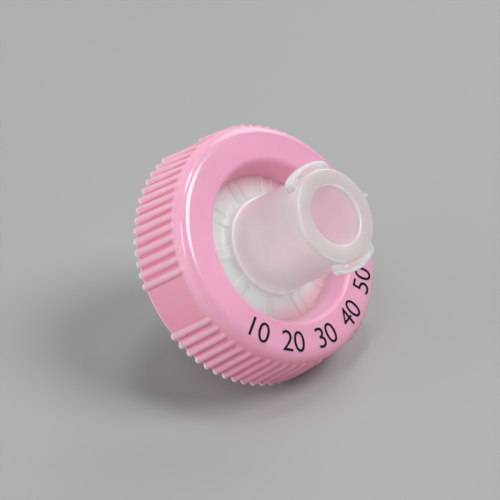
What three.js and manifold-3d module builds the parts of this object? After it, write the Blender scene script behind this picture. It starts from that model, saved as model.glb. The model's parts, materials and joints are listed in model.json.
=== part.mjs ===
// A 13 mm syringe filter for chromatography samples: a membrane disc clamped between two
// translucent housing shells, held together by a moulded grip ring with ribs round its side.
// The inlet is a female luer fitting with two locking lugs, the outlet a male luer slip nozzle.
// It lies as it comes to rest: on two grip ribs beside one smooth panel and on the nozzle's tip.
//
// Millimetres, +Z up. Every piece is modelled round the flow axis, which is +Z of the turned
// group and points out of the inlet, with z = 0 in the plane of the ring's front face.

import * as THREE from 'three';
import { mergeVertices } from 'three/addons/utils/BufferGeometryUtils.js';
import Module from 'manifold-3d';

const wasm = await Module();
wasm.setup();

const DEG = THREE.MathUtils.DEG2RAD;

// ---- Driving dimensions ----

// Membrane disc and how it is held
const membraneRadius = 6.5;
const membraneThickness = 0.2;
const clampWidth = 0.8; // rim of the membrane that the two shells grip
const weldWidth = 1.0; // shell outside the membrane
const membraneGap = 0.1; // between the membrane and each shell
const mouldingGap = 0.2; // between the grip ring and the shells inside it

// Inlet and outlet plates, the disc-shaped floors of the two shells
const inletRecess = 1.8; // ring's front face down to the inlet plate
const inletPlateThickness = 0.95;
const outletPlateThickness = 0.95;
const chamberHeight = 0.25; // space above and below the membrane
const flowHoleRadius = 1.05;
const ribCount = 10; // radial ribs that hold each chamber open
const ribWidth = 0.9;
const ribHeight = 0.17;
const ribHubClearance = 0.35; // from the flow hole to the ribs' inner ends

// Female luer inlet: 6 % taper on the diameter
const luerTaper = 0.03; // change of radius for each millimetre along the axis
const inletHeight = 5.9; // ring's front face up to the rim
const luerMouthRadius = 2.13;
const luerFloor = 1.3; // solid between the tapered bore's foot and the chamber
const mouthRounding = 0.12;
const tubeWall = 1.26; // at the rim
const rimRounding = 0.25;
const tubeFlare = 0.1; // extra radius of the tube at its foot
const tubeFootFillet = 0.6;

// Two locking lugs under the rim
const lugCount = 2;
const lugStandOff = 0.6; // beyond the tube
const lugRoot = 0.5; // part of a lug that lies inside the tube's wall
const lugThickness = 0.7;
const lugSetback = 0.32; // rim down to the lugs
const lugSpan = 48; // degrees between the centres of a lug's two round ends
const lugRounding = 0.15;

// Stub left at the mould's gate, on the tube beside the lugs
const gateStandOff = 0.66; // beyond the tube
const gateWidth = 0.5;
const gateThickness = 0.22;
const gateSetback = 0.4; // rim down to the stub's middle

// Male luer slip outlet
const nozzleTipRadius = 1.99;
const nozzleConeLength = 7.5;
const nozzleShoulder = 0.4; // step from the cone's root out to the nozzle's foot
const nozzleFootLength = 2.05;
const nozzleFootFillet = 0.6;
const nozzleTipRounding = 0.2;
const nozzleBoreRadius = 1.05;

// Grip ring
const ringWall = 1.1; // from the shells to the ring's side, at the front
const sideFlare = 0.38; // growth of the side's radius towards the back
const backLipThickness = 0.7;
const lipCover = 1.5; // how far the front lip reaches in over the shells
const windowDraft = 0.55; // how much the window narrows down to the inlet plate
const windowRounding = 0.4;
const backLipCover = 1.3;
const backWindowDraft = 0.3;
const frontEdgeRounding = 0.55;
const backEdgeRounding = 0.25;

// Grip ribs on the ring's side, in groups parted by smooth panels
const panelCount = 4;
const gripRibsPerGroup = 14;
const gripRibPitch = 5; // degrees
const gripRibRadius = 0.26;
const gripRibFrontRise = 0.15; // crest above the side at the front end
const gripRibBackRise = 0.34; // crest above the side at the back end
const gripRibFrontSetback = 0.6; // ring's front face to the ribs' front ends
const gripRibBackSetback = 0.06; // ring's back face to the ribs' back ends

// How finely round shapes are divided
const ringSteps = 90;
const shellSteps = 56;
const arcStep = 30; // degrees along a rounded corner
const gripRibSides = 8;
const lugArcSteps = 6;
const lugEdgeSteps = 2;
const gateSteps = 8;
const weldDistance = 1e-4;
const angleTolerance = 1e-9; // of the resting pose, in radians

// ---- Sizes that follow ----

const plateRadius = membraneRadius + weldWidth;
const chamberRadius = membraneRadius - clampWidth;
const inletPlateTop = -inletRecess;
const inletLand = inletPlateTop - inletPlateThickness;
const inletCeiling = inletLand + chamberHeight;
const boreFoot = inletCeiling + luerFloor;
const luerDepth = inletHeight - boreFoot;
const membraneTop = inletLand - membraneGap;
const membraneBottom = membraneTop - membraneThickness;
const outletLand = membraneBottom - membraneGap;
const outletFloor = outletLand - chamberHeight;
const outletPlateBottom = outletLand - outletPlateThickness;
const channelRadius = plateRadius + mouldingGap;
const channelTop = inletPlateTop + mouldingGap;
const channelBottom = outletPlateBottom - mouldingGap;
const ringBack = channelBottom - backLipThickness;
const collarRadius = channelRadius + ringWall;
const sideBackRadius = collarRadius + sideFlare;
const windowRadius = plateRadius - lipCover;
const windowFootRadius = windowRadius - windowDraft;
const backWindowRadius = plateRadius - backLipCover;
const backWindowFootRadius = backWindowRadius - backWindowDraft;
const rimRadius = luerMouthRadius + tubeWall;
const tubeFootRadius = rimRadius + tubeFlare;
const nozzleRootRadius = nozzleTipRadius + luerTaper * nozzleConeLength;
const nozzleFootRadius = nozzleRootRadius + nozzleShoulder;
const nozzleShoulderHeight = outletPlateBottom - nozzleFootLength;
const nozzleTip = nozzleShoulderHeight - nozzleConeLength;

// ---- Materials ----

const pinkPolypropylene = new THREE.MeshStandardMaterial({ color: 0xe79fbd, roughness: 0.4, metalness: 0 });
const clearPolypropylene = new THREE.MeshStandardMaterial({ color: 0xdcd8d6, roughness: 0.3, metalness: 0 });
const whiteMembrane = new THREE.MeshStandardMaterial({ color: 0xf4f3f0, roughness: 0.9, metalness: 0 });

// ---- Tools ----

// Points along corners [radius, height, rounding], each rounded corner a tangent arc.
function outline(corners) {
  const at = (i) => {
    const [x, y] = corners[(i + corners.length) % corners.length];
    return new THREE.Vector2(x, y);
  };
  return corners.flatMap(([, , rounding = 0], i) => (
    rounding > 0 ? roundedCorner(at(i - 1), at(i), at(i + 1), rounding) : [at(i)]
  ));
}

function roundedCorner(before, corner, after, rounding) {
  const back = before.clone().sub(corner).normalize();
  const ahead = after.clone().sub(corner).normalize();
  const half = Math.acos(back.dot(ahead)) / 2;
  const centre = back.clone().add(ahead).normalize().multiplyScalar(rounding / Math.sin(half)).add(corner);
  const start = back.multiplyScalar(rounding / Math.tan(half)).add(corner).sub(centre);
  const end = ahead.multiplyScalar(rounding / Math.tan(half)).add(corner).sub(centre);
  const turn = Math.atan2(start.cross(end), start.dot(end));
  const steps = Math.ceil(Math.abs(turn) / (arcStep * DEG));
  const origin = new THREE.Vector2();
  return Array.from({ length: steps + 1 }, (_, i) => (
    start.clone().rotateAround(origin, (turn * i) / steps).add(centre)
  ));
}

// A solid from a closed geometry: corners are welded and triangles of no area left out.
function solidFrom(geometry) {
  geometry.deleteAttribute('normal');
  geometry.deleteAttribute('uv');
  const welded = mergeVertices(geometry, weldDistance);
  const triVerts = [];
  for (let i = 0; i < welded.index.count; i += 3) {
    const corners = [0, 1, 2].map((k) => welded.index.getX(i + k));
    if (new Set(corners).size === 3) triVerts.push(...corners);
  }
  return new wasm.Manifold(new wasm.Mesh({
    numProp: 3,
    vertProperties: new Float32Array(welded.attributes.position.array),
    triVerts: new Uint32Array(triVerts),
  }));
}

// A closed outline turned round the flow axis.
function turned(corners, steps) {
  const points = outline(corners);
  return solidFrom(new THREE.LatheGeometry([...points, points[0]], steps).rotateX(90 * DEG));
}

function fuse(body, additions) {
  return additions.reduce((whole, piece) => whole.add(piece), body);
}

function meshOf(name, solid, material) {
  const { vertProperties, triVerts } = solid.getMesh();
  const geometry = new THREE.BufferGeometry();
  geometry.setAttribute('position', new THREE.BufferAttribute(vertProperties, 3));
  geometry.setIndex(new THREE.BufferAttribute(triVerts, 1));
  geometry.computeVertexNormals();
  const mesh = new THREE.Mesh(geometry, material);
  mesh.name = name;
  return mesh;
}

// ---- Membrane ----

function membrane() {
  const corners = [
    [0, membraneBottom],
    [membraneRadius, membraneBottom],
    [membraneRadius, membraneTop],
    [0, membraneTop],
  ];
  return turned(corners, shellSteps);
}

// ---- Housing shells ----

// Radial ribs half sunk in a chamber's end face, from clear of its hole out into its wall.
function chamberRibs(endFace, holeRadius) {
  const inner = holeRadius + ribHubClearance;
  const outer = chamberRadius + ribWidth / 2;
  return Array.from({ length: ribCount }, (_, i) => {
    const rib = new THREE.BoxGeometry(outer - inner, ribWidth, 2 * ribHeight);
    rib.translate((inner + outer) / 2, 0, endFace);
    return solidFrom(rib.rotateZ(90 * DEG + (i * 2 * Math.PI) / ribCount));
  });
}

function lug(direction) {
  const outer = rimRadius + lugStandOff;
  const inner = rimRadius - lugRoot;
  const middle = (outer + inner) / 2;
  const half = (lugSpan / 2) * DEG;
  const endRadius = (outer - inner) / 2 - lugRounding;
  const endCentre = (side) => [middle * Math.cos(side * half), middle * Math.sin(side * half)];
  const shape = new THREE.Shape();
  shape.absarc(0, 0, outer - lugRounding, -half, half);
  shape.absarc(...endCentre(1), endRadius, half, half + Math.PI);
  shape.absarc(0, 0, inner + lugRounding, half, -half, true);
  shape.absarc(...endCentre(-1), endRadius, Math.PI - half, 2 * Math.PI - half);
  const geometry = new THREE.ExtrudeGeometry(shape, {
    depth: lugThickness - 2 * lugRounding,
    bevelThickness: lugRounding,
    bevelSize: lugRounding,
    bevelSegments: lugEdgeSteps,
    curveSegments: lugArcSteps,
  });
  geometry.translate(0, 0, inletHeight - lugSetback - lugThickness + lugRounding);
  return solidFrom(geometry.rotateZ(direction));
}

// A small flat lump, half sunk in the tube's wall.
function gateStub() {
  const stub = new THREE.SphereGeometry(0.5, gateSteps, gateSteps / 2);
  stub.scale(2 * gateStandOff, gateWidth, gateThickness);
  stub.translate(rimRadius, 0, inletHeight - gateSetback);
  return solidFrom(stub);
}

function inletHousing() {
  const body = turned([
    [flowHoleRadius, inletCeiling],
    [chamberRadius, inletCeiling],
    [chamberRadius, inletLand],
    [plateRadius, inletLand],
    [plateRadius, inletPlateTop],
    [tubeFootRadius, inletPlateTop, tubeFootFillet],
    [rimRadius, inletHeight, rimRounding],
    [luerMouthRadius, inletHeight, mouthRounding],
    [luerMouthRadius - luerTaper * luerDepth, boreFoot],
    [flowHoleRadius, boreFoot],
  ], shellSteps);
  const lugs = Array.from({ length: lugCount }, (_, i) => lug(90 * DEG + (i * 2 * Math.PI) / lugCount));
  return fuse(body, [...lugs, gateStub(), ...chamberRibs(inletCeiling, flowHoleRadius)]);
}

function outletHousing() {
  const body = turned([
    [nozzleBoreRadius, nozzleTip],
    [nozzleTipRadius, nozzleTip, nozzleTipRounding],
    [nozzleRootRadius, nozzleShoulderHeight],
    [nozzleFootRadius, nozzleShoulderHeight, nozzleTipRounding],
    [nozzleFootRadius, outletPlateBottom, nozzleFootFillet],
    [plateRadius, outletPlateBottom],
    [plateRadius, outletLand],
    [chamberRadius, outletLand],
    [chamberRadius, outletFloor],
    [nozzleBoreRadius, outletFloor],
  ], shellSteps);
  return fuse(body, chamberRibs(outletFloor, nozzleBoreRadius));
}

// ---- Grip ring ----

function sideRadiusAt(z) {
  return THREE.MathUtils.mapLinear(z, 0, ringBack, collarRadius, sideBackRadius);
}

// A round rod along the ring's side, half sunk in it, with its crest rising towards the back.
function gripRib(direction) {
  const frontZ = -gripRibFrontSetback - gripRibRadius;
  const backZ = ringBack + gripRibBackSetback + gripRibRadius;
  const front = new THREE.Vector2(sideRadiusAt(frontZ) + gripRibFrontRise - gripRibRadius, frontZ);
  const back = new THREE.Vector2(sideRadiusAt(backZ) + gripRibBackRise - gripRibRadius, backZ);
  const rod = new THREE.LatheGeometry(rodProfile(front.distanceTo(back)), gripRibSides);
  const slope = Math.atan2(back.x - front.x, front.y - back.y);
  rod.rotateX(90 * DEG);
  rod.rotateY(-slope);
  rod.translate((front.x + back.x) / 2, 0, (front.y + back.y) / 2);
  return solidFrom(rod.rotateZ(direction));
}

// Half the outline of a rod with round ends, from its back end to its front end.
function rodProfile(length) {
  const end = (angle, centre) => new THREE.Vector2(
    gripRibRadius * Math.cos(angle * DEG),
    centre + gripRibRadius * Math.sin(angle * DEG),
  );
  return [
    new THREE.Vector2(0, -length / 2 - gripRibRadius),
    end(-45, -length / 2),
    end(0, -length / 2),
    end(0, length / 2),
    end(45, length / 2),
    new THREE.Vector2(0, length / 2 + gripRibRadius),
  ];
}

// Directions of all ribs: each group is centred between two panels, one of which faces -Y.
function gripRibDirections() {
  const groupTurn = 360 / panelCount;
  const firstRib = (groupTurn - (gripRibsPerGroup - 1) * gripRibPitch) / 2;
  return Array.from({ length: panelCount * gripRibsPerGroup }, (_, i) => {
    const group = Math.floor(i / gripRibsPerGroup);
    const place = i % gripRibsPerGroup;
    return (-90 + group * groupTurn + firstRib + place * gripRibPitch) * DEG;
  });
}

function gripRing() {
  const body = turned([
    [windowRadius, 0, windowRounding],
    [windowFootRadius, channelTop],
    [channelRadius, channelTop],
    [channelRadius, channelBottom],
    [backWindowFootRadius, channelBottom],
    [backWindowRadius, ringBack],
    [sideBackRadius, ringBack, backEdgeRounding],
    [collarRadius, 0, frontEdgeRounding],
  ], ringSteps);
  return fuse(body, gripRibDirections().map(gripRib));
}

// ---- Assembly and resting pose ----

const filter = new THREE.Group();
filter.add(
  meshOf('grip_ring', gripRing(), pinkPolypropylene),
  meshOf('inlet_housing', inletHousing(), clearPolypropylene),
  meshOf('outlet_housing', outletHousing(), clearPolypropylene),
  meshOf('membrane', membrane(), whiteMembrane),
);

// Lowest height of a mesh when the flow axis rises at the given angle from the floor.
function lowestPoint(mesh, rise) {
  const position = mesh.geometry.attributes.position;
  let lowest = Infinity;
  for (let i = 0; i < position.count; i += 1) {
    const height = position.getY(i) * Math.cos(rise) + position.getZ(i) * Math.sin(rise);
    lowest = Math.min(lowest, height);
  }
  return lowest;
}

// The rise at which the ring and the nozzle's tip touch the floor together.
function restingRise() {
  const ring = filter.getObjectByName('grip_ring');
  const outlet = filter.getObjectByName('outlet_housing');
  let low = 0;
  let high = 90 * DEG;
  while (high - low > angleTolerance) {
    const middle = (low + high) / 2;
    if (lowestPoint(outlet, middle) > lowestPoint(ring, middle)) low = middle;
    else high = middle;
  }
  return low;
}

filter.rotation.x = 90 * DEG - restingRise();

const syringeFilter = new THREE.Group();
syringeFilter.add(filter);
const bounds = new THREE.Box3().setFromObject(syringeFilter, true);
const centre = bounds.getCenter(new THREE.Vector3());
filter.position.set(-centre.x, -centre.y, -bounds.min.z);

export default syringeFilter;
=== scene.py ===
"""Looks of a small syringe filter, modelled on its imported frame.

A satin pink grip ring holds two milky translucent housing shells, which clamp a white membrane.
Every piece is modelled upright round the flow axis, with the ring's front face at height zero
and the inlet pointing up, and is then laid down in the pose in which the filter rests.
The file is laid out as an add-on: sizes and finishes are properties, each piece has an operator.
"""
import json
from collections import namedtuple
from math import acos, atan2, ceil, cos, hypot, pi, radians, sin, sqrt, tan

import bmesh
import bpy
from bpy.props import FloatProperty, FloatVectorProperty, IntProperty, PointerProperty, StringProperty
from bpy.types import Operator, Panel, PropertyGroup
from mathutils import Matrix, Vector


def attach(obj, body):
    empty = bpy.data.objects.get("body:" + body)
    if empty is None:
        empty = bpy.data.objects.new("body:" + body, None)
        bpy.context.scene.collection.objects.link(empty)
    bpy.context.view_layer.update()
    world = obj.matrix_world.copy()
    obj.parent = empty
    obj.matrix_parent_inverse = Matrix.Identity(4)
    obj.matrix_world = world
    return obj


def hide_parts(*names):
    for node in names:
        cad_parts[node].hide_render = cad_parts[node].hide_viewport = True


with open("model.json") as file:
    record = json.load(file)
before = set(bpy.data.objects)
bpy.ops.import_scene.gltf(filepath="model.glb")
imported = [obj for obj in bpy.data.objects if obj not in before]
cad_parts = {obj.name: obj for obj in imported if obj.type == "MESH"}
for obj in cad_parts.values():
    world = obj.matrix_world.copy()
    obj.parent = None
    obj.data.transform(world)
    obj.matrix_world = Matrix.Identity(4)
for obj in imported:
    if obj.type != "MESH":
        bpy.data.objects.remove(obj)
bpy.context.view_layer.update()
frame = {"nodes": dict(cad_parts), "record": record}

bl_info = {
    "name": "Syringe Filter",
    "version": (1, 0, 0),
    "blender": (4, 5, 0),
    "location": "3D View > Sidebar > Filter",
    "description": "Models a small syringe filter with a ribbed grip ring and luer fittings",
    "category": "Add Mesh",
}

MM = 0.001

# How finely shapes are divided, smoothed and merged
SHELL_STEPS = 180  # round the flow axis
MEMBRANE_STEPS = 120
SECTOR_COLUMNS = 16  # across a grip rib's pitch, and across a smooth panel
RIB_END_ROWS = 8
FRONT_EDGE_ROWS = 10
CORNER_STEP = radians(11.25)  # along a shell's rounded corner
RING_CORNER_STEP = radians(10)
LUG_ARC_STEP = radians(7.5)
SMOOTH_ANGLE = radians(35)
RING_SMOOTH_ANGLE = radians(50)
MERGE_DISTANCE = 0.0005 * MM
SLIVER = 0.0001 * MM
LEVEL = 0.01 * MM  # two heights closer than this are the same level


# ---- What the frame says ----

def mount(name):
    """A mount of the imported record."""
    return next(m for m in frame["record"]["mounts"] if m["name"] == name)


def flow_frame():
    """The upright modelling frame as it lies at rest: its Z is the flow axis, its X the row's X."""
    face = mount("ring_face")
    centre = Vector((0, face["pos_m"][1], face["pos_m"][2]))
    z = Vector(face["axis"]).normalized()
    x = Vector((1, 0, 0))
    turn = Matrix((x, z.cross(x), z)).transposed()
    return Matrix.Translation(centre) @ turn.to_4x4()


FLOW = flow_frame()


def upright_points(node):
    """The points of a CAD node, stood up on the flow axis."""
    stand_up = FLOW.inverted()
    return [stand_up @ vertex.co for vertex in frame["nodes"][node].data.vertices]


def heights(node):
    """Lowest and highest point of a CAD node along the flow axis."""
    levels = [point.z for point in upright_points(node)]
    return min(levels), max(levels)


def radii(node):
    """Nearest and farthest point of a CAD node from the flow axis."""
    distances = [point.xy.length for point in upright_points(node)]
    return min(distances), max(distances)


RING_BACK = heights("grip_ring")[0]
INLET_LAND, INLET_RIM = heights("inlet_housing")
NOZZLE_TIP, OUTLET_LAND = heights("outlet_housing")
MEMBRANE_BOTTOM, MEMBRANE_TOP = heights("membrane")
WINDOW_FOOT_RADIUS = radii("grip_ring")[0]
FLOW_HOLE_RADIUS, PLATE_RADIUS = radii("inlet_housing")
MEMBRANE_RADIUS = radii("membrane")[1]


# ---- Properties ----

def length(name, description, millimetres):
    return FloatProperty(
        name=name, description=description, default=millimetres * MM, precision=6, unit="LENGTH"
    )


def angle(name, description, degrees):
    return FloatProperty(
        name=name, description=description, default=radians(degrees), subtype="ANGLE"
    )


def colour(name, place, rgb):
    return FloatVectorProperty(
        name=name, description="Colour of " + place, default=rgb, subtype="COLOR", size=3, min=0, max=1
    )


class RingSizes(PropertyGroup):
    collar_radius: length("Collar radius", "Radius of the side at the front face", 8.8)
    back_radius: length("Back radius", "Radius of the side at the back face", 9.18)
    window_radius: length("Window radius", "Radius of the front window at the face", 6.0)
    window_rounding: length("Window rounding", "Rounding of the window's edge", 0.4)
    foot_fillet: length("Foot fillet", "Hollow at the foot of the window's wall", 0.08)
    lip_depth: length("Lip depth", "Front face down to the underside of the front lip", 1.785)
    channel_radius: length("Channel radius", "Radius of the seat that holds the shells", 7.7)
    back_lip: length("Back lip", "Thickness of the lip behind the shells", 0.885)
    back_window: length("Back window", "Radius of the back window at the back face", 6.2)
    back_draft: length("Back draft", "How much the back window narrows inwards", 0.3)
    back_window_rounding: length("Back window rounding", "Rounding of the back window's edge", 0.08)
    front_rounding: length("Front rounding", "Rounding of the front edge", 0.9)
    back_rounding: length("Back rounding", "Rounding of the back edge", 0.25)


class RibSizes(PropertyGroup):
    groups: IntProperty(name="Groups", description="Groups of ribs, parted by panels", default=4)
    per_group: IntProperty(name="Ribs per group", description="Ribs in each group", default=14)
    pitch: angle("Pitch", "Turn from rib to rib", 5)
    radius: length("Rib radius", "Radius of a rib's round crest and ends", 0.26)
    fillet: length("Rib fillet", "Hollow where a rib meets the side", 0.1)
    front_rise: length("Front rise", "Crest above the side at the front end", 0.15)
    back_rise: length("Back rise", "Crest above the side at the back end", 0.34)
    crease: angle("Crease", "Turn from a rib's middle to its crease", 1.8)
    front_setback: length("Front setback", "Front face down to the ribs' front ends", 0.6)
    back_setback: length("Back setback", "Back face up to the ribs' back ends", 0.06)


class InletSizes(PropertyGroup):
    plate_top: length("Plate height", "Height of the inlet plate's outer face", -1.8)
    chamber_height: length("Chamber height", "Depth of the chamber over the membrane", 0.25)
    chamber_radius: length("Chamber radius", "Radius of the chamber over the membrane", 5.7)
    mouth_radius: length("Mouth radius", "Radius of the tapered bore at the rim", 2.13)
    bore_depth: length("Bore depth", "Rim down to the foot of the tapered bore", 7.1)
    taper: FloatProperty(name="Luer taper", description="Change of radius along the axis", default=0.03)
    wall: length("Tube wall", "Wall of the tube at the rim", 1.26)
    flare: length("Tube flare", "Extra radius of the tube at the plate", 0.1)
    mouth_rounding: length("Mouth rounding", "Rounding of the bore's edge", 0.12)
    rim_rounding: length("Rim rounding", "Rounding of the rim's outer edge", 0.25)
    ledge: length("Ledge", "Width of the fine ledge left round the tube's foot", 0.16)
    ledge_height: length("Ledge height", "Height of that ledge", -1.14)
    foot_fillet: length("Foot fillet", "Hollow between the ledge and the plate", 0.5)


class LugSizes(PropertyGroup):
    stand_off: length("Stand-off", "Reach of a lug beyond the tube", 0.6)
    root: length("Root", "Part of a lug inside the tube's wall", 0.5)
    thickness: length("Thickness", "Thickness of a lug", 0.7)
    setback: length("Setback", "Rim down to the lugs", 0.32)
    rounding: length("Rounding", "Rounding of a lug's edges", 0.15)
    span: angle("Span", "Turn between the centres of a lug's round ends", 48)


class GateSizes(PropertyGroup):
    stand_off: length("Stand-off", "Reach of the stub beyond the tube", 0.66)
    width: length("Width", "Width of the stub", 0.5)
    thickness: length("Thickness", "Thickness of the stub", 0.22)
    setback: length("Setback", "Rim down to the stub's middle", 0.4)


class OutletSizes(PropertyGroup):
    plate_bottom: length("Plate height", "Height of the outlet plate's outer face", -4.1)
    tip_radius: length("Tip radius", "Radius of the nozzle at its tip", 1.99)
    cone_length: length("Cone length", "Length of the nozzle's tapered cone", 7.5)
    shoulder: length("Shoulder", "Step from the cone out to the nozzle's foot", 0.4)
    rounding: length("Rounding", "Rounding of the tip and the shoulder", 0.2)
    foot_fillet: length("Foot fillet", "Hollow between nozzle and plate", 0.6)


class ChamberRibSizes(PropertyGroup):
    count: IntProperty(name="Count", description="Radial ribs in each chamber", default=10)
    width: length("Width", "Width of a radial rib", 0.9)
    height: length("Height", "Height of a radial rib", 0.17)
    hub_clearance: length("Hub clearance", "From the flow hole to the ribs' inner ends", 0.35)


class PrintSizes(PropertyGroup):
    numbers: StringProperty(
        name="Numbers", description="Plain numbers printed on the face", default="10 20 30 40 50"
    )
    height: length("Height", "Height of the numerals", 1.54)
    top_radius: length("Top radius", "Radius of the arc along the numerals' tops", 6.55)
    start: angle("Start", "Direction of the first numeral", 211)
    step: angle("Step", "Turn from numeral to numeral", 8)
    lift: length("Lift", "Ring's face up to the middle of the ink", 0.012)
    half_ink: length("Half ink", "Half the thickness of the ink", 0.004)
    thinning: length("Thinning", "How far a numeral's outline is drawn in", 0.007)


class Finishes(PropertyGroup):
    pink: colour("Pink", "the grip ring's side", (1.0, 0.415, 0.555))
    # Painted shade: a darker pink for the ring's underside, as if it were less lit
    pink_under_shade: colour("Pink underside", "the grip ring's underside", (0.94, 0.32, 0.46))
    # Painted sheen: a paler pink on the grip ribs' crests, strongest on the upper side
    pink_crest_sheen: colour("Pink crest", "the grip ribs' crests", (1.0, 0.56, 0.685))
    # Painted shade: a deeper pink in the crease under each grip rib
    pink_crease_shade: colour("Pink crease", "the crease under each grip rib", (0.88, 0.275, 0.43))
    # Painted sheen: a paler pink on the rounded front edge
    pink_edge_sheen: colour("Pink edge", "the ring's rounded front edge", (1.0, 0.49, 0.66))
    # Painted shade: a deeper pink on that edge at the underside
    pink_edge_shade: colour("Pink edge underneath", "that edge at the underside", (0.97, 0.36, 0.5))
    # Painted highlight: a near-white pink on the grip ribs' back ends and the ring's back rim
    pink_tip_highlight: colour("Pink tip", "the grip ribs' pale back ends", (1.0, 0.84, 0.89))
    # Painted sheen: a paler, more lilac pink on the front face
    pink_face_sheen: colour("Pink face", "the grip ring's front face", (0.90, 0.425, 0.61))
    pink_window: colour("Pink window", "the window's wall", (1.0, 0.43, 0.585))
    # Painted shade: a duller pink on the window wall's lower side
    pink_sill_shade: colour("Pink sill", "the wall's lower side", (0.85, 0.46, 0.63))
    # Painted shade: a darker pink where that lower side meets the plate
    pink_foot_shade: colour("Pink foot", "the wall's lower side beside the plate", (0.72, 0.43, 0.52))
    plate: colour("Plate", "the shells' plates", (0.75, 0.82, 0.80))
    # Painted light: the ring's pink glowing in a plate near the ring
    plate_ring_glow: colour("Plate edge", "a plate beside the ring", (0.86, 0.55, 0.62))
    # Painted glints: highlights painted on sharp edges of the milky plastic
    glint: colour("Glint", "sharp edges in the milky plastic", (0.89, 1.0, 0.965))
    # Painted light: the tube made lighter towards the plate, and the nozzle in part
    tube_foot: colour("Tube's foot", "the tube beside the plate, and of the nozzle", (0.96, 0.99, 0.975))
    tube: colour("Tube", "the tube", (0.69, 0.735, 0.72))
    # Painted light: a lighter colour for the tube's underside
    tube_under_light: colour("Tube underneath", "the tube's underside", (0.81, 0.86, 0.84))
    # Painted light: the ring's pink glowing in the tube, in soft clouds
    tube_pink_glow: colour("Tube's blush", "the tube where the ring's pink shows in it", (0.745, 0.66, 0.675))
    # Painted light: that pink glow, lighter, on the tube's underside
    pink_glow_under: colour("Blush underneath", "the blush on the tube's underside", (0.91, 0.76, 0.775))
    bore: colour("Bore", "the bore, which glows with the ring's light", (0.93, 0.755, 0.815))
    rim: colour("Rim", "the tube's rim", (0.72, 0.67, 0.66))
    lug: colour("Lug", "the lugs' milky ends", (0.70, 0.71, 0.70))
    clear_lug: colour("Clear lug", "the lugs' clear middles", (1.0, 0.97, 0.97))
    lip_tint: colour("Lip tint", "the light that the ring's thin lip lets through", (1.0, 0.62, 0.72))
    lamp_tint: colour("Lamp tint", "the light that the shells let through", (0.86, 0.84, 0.84))
    membrane: colour("Membrane", "the membrane", (0.86, 0.86, 0.85))
    ink: colour("Ink", "the printed numerals", (0.004, 0.003, 0.003))
    floor: colour("Floor", "the floor", (0.415, 0.422, 0.421))


class StageSizes(PropertyGroup):
    floor_size: length("Floor", "Width of the floor", 3000)
    camera_lens: FloatProperty(name="Lens", description="Focal length of the camera in mm", default=100.8)
    lamp_distance: length("Lamp distance", "From the floor under the filter to a lamp", 600)
    world_strength: FloatProperty(name="World", description="Strength of the light all round", default=0.11)


# ---- Outlines and turned shapes ----

def rounded_outline(corners, corner_step):
    """Points along corners (radius, height, rounding), each rounded corner a tangent arc."""
    points = []
    for i, (x, z, rounding) in enumerate(corners):
        corner = Vector((x, z))
        before = Vector(corners[i - 1][:2])
        after = Vector(corners[(i + 1) % len(corners)][:2])
        if rounding > 0:
            points += corner_arc(before, corner, after, rounding, corner_step)
        else:
            points.append(corner)
    return points


def corner_arc(before, corner, after, rounding, corner_step):
    """Points along the arc that touches both lines at a corner."""
    back = (before - corner).normalized()
    ahead = (after - corner).normalized()
    half = back.angle(ahead) / 2
    centre = corner + (back + ahead).normalized() * rounding / sin(half)
    start = corner + back * rounding / tan(half) - centre
    end = corner + ahead * rounding / tan(half) - centre
    turn = atan2(start.x * end.y - start.y * end.x, start.dot(end))
    steps = ceil(abs(turn) / corner_step)
    return [centre + Matrix.Rotation(turn * i / steps, 2) @ start for i in range(steps + 1)]


def draw_outline(name, points):
    """Starts from a plane merged to one vertex and extrudes it through the points, back to the first."""
    bpy.ops.object.select_all(action="DESELECT")
    bpy.ops.mesh.primitive_plane_add(size=MM, location=(points[0].x, 0, points[0].y))
    piece = bpy.context.active_object
    piece.name = name
    piece.data.name = name
    bpy.ops.object.transform_apply(location=True, rotation=True, scale=True)
    bpy.ops.object.mode_set(mode="EDIT")
    bpy.ops.mesh.select_mode(type="VERT")
    bpy.ops.mesh.select_all(action="SELECT")
    bpy.ops.mesh.merge(type="CENTER")
    for here, there in zip(points, points[1:] + points[:1]):
        step = there - here
        bpy.ops.mesh.extrude_vertices_move(TRANSFORM_OT_translate={"value": (step.x, 0, step.y)})
    bpy.ops.mesh.select_all(action="SELECT")
    bpy.ops.mesh.remove_doubles(threshold=MERGE_DISTANCE)
    return piece


def draw_flat(name, points, height):
    """An outline in a level plane: drawn upright first, then laid down at its height."""
    piece = draw_outline(name, points)
    bpy.ops.transform.rotate(value=pi / 2, orient_axis="X", orient_type="GLOBAL", center_override=(0, 0, 0))
    bpy.ops.transform.translate(value=(0, 0, height))
    return piece


def turn_mesh(turn):
    """Turns all of the mesh being edited round the flow axis; a positive turn is clockwise."""
    bpy.ops.mesh.select_all(action="SELECT")
    bpy.ops.transform.rotate(value=turn, orient_axis="Z", orient_type="GLOBAL", center_override=(0, 0, 0))


def spin_mesh(steps, turn, dupli=False):
    """Spins all of the mesh being edited, or copies of it; a negative turn is anticlockwise."""
    bpy.ops.mesh.select_all(action="SELECT")
    bpy.ops.mesh.spin(steps=steps, dupli=dupli, angle=turn, center=(0, 0, 0), axis=(0, 0, 1))


def close_surface():
    """Merges doubles, drops slivers and loose edges, and turns all faces outwards."""
    bpy.ops.mesh.select_all(action="SELECT")
    bpy.ops.mesh.remove_doubles(threshold=MERGE_DISTANCE)
    bpy.ops.mesh.dissolve_degenerate(threshold=SLIVER)
    bpy.ops.mesh.delete_loose(use_verts=True, use_edges=True, use_faces=False)
    bpy.ops.mesh.select_all(action="SELECT")
    bpy.ops.mesh.normals_make_consistent(inside=False)
    bpy.ops.object.mode_set(mode="OBJECT")


def turned_piece(name, corners, steps):
    """A closed outline turned once round the flow axis."""
    piece = draw_outline(name, rounded_outline(corners, CORNER_STEP))
    spin_mesh(steps, 2 * pi)
    close_surface()
    return piece


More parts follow.
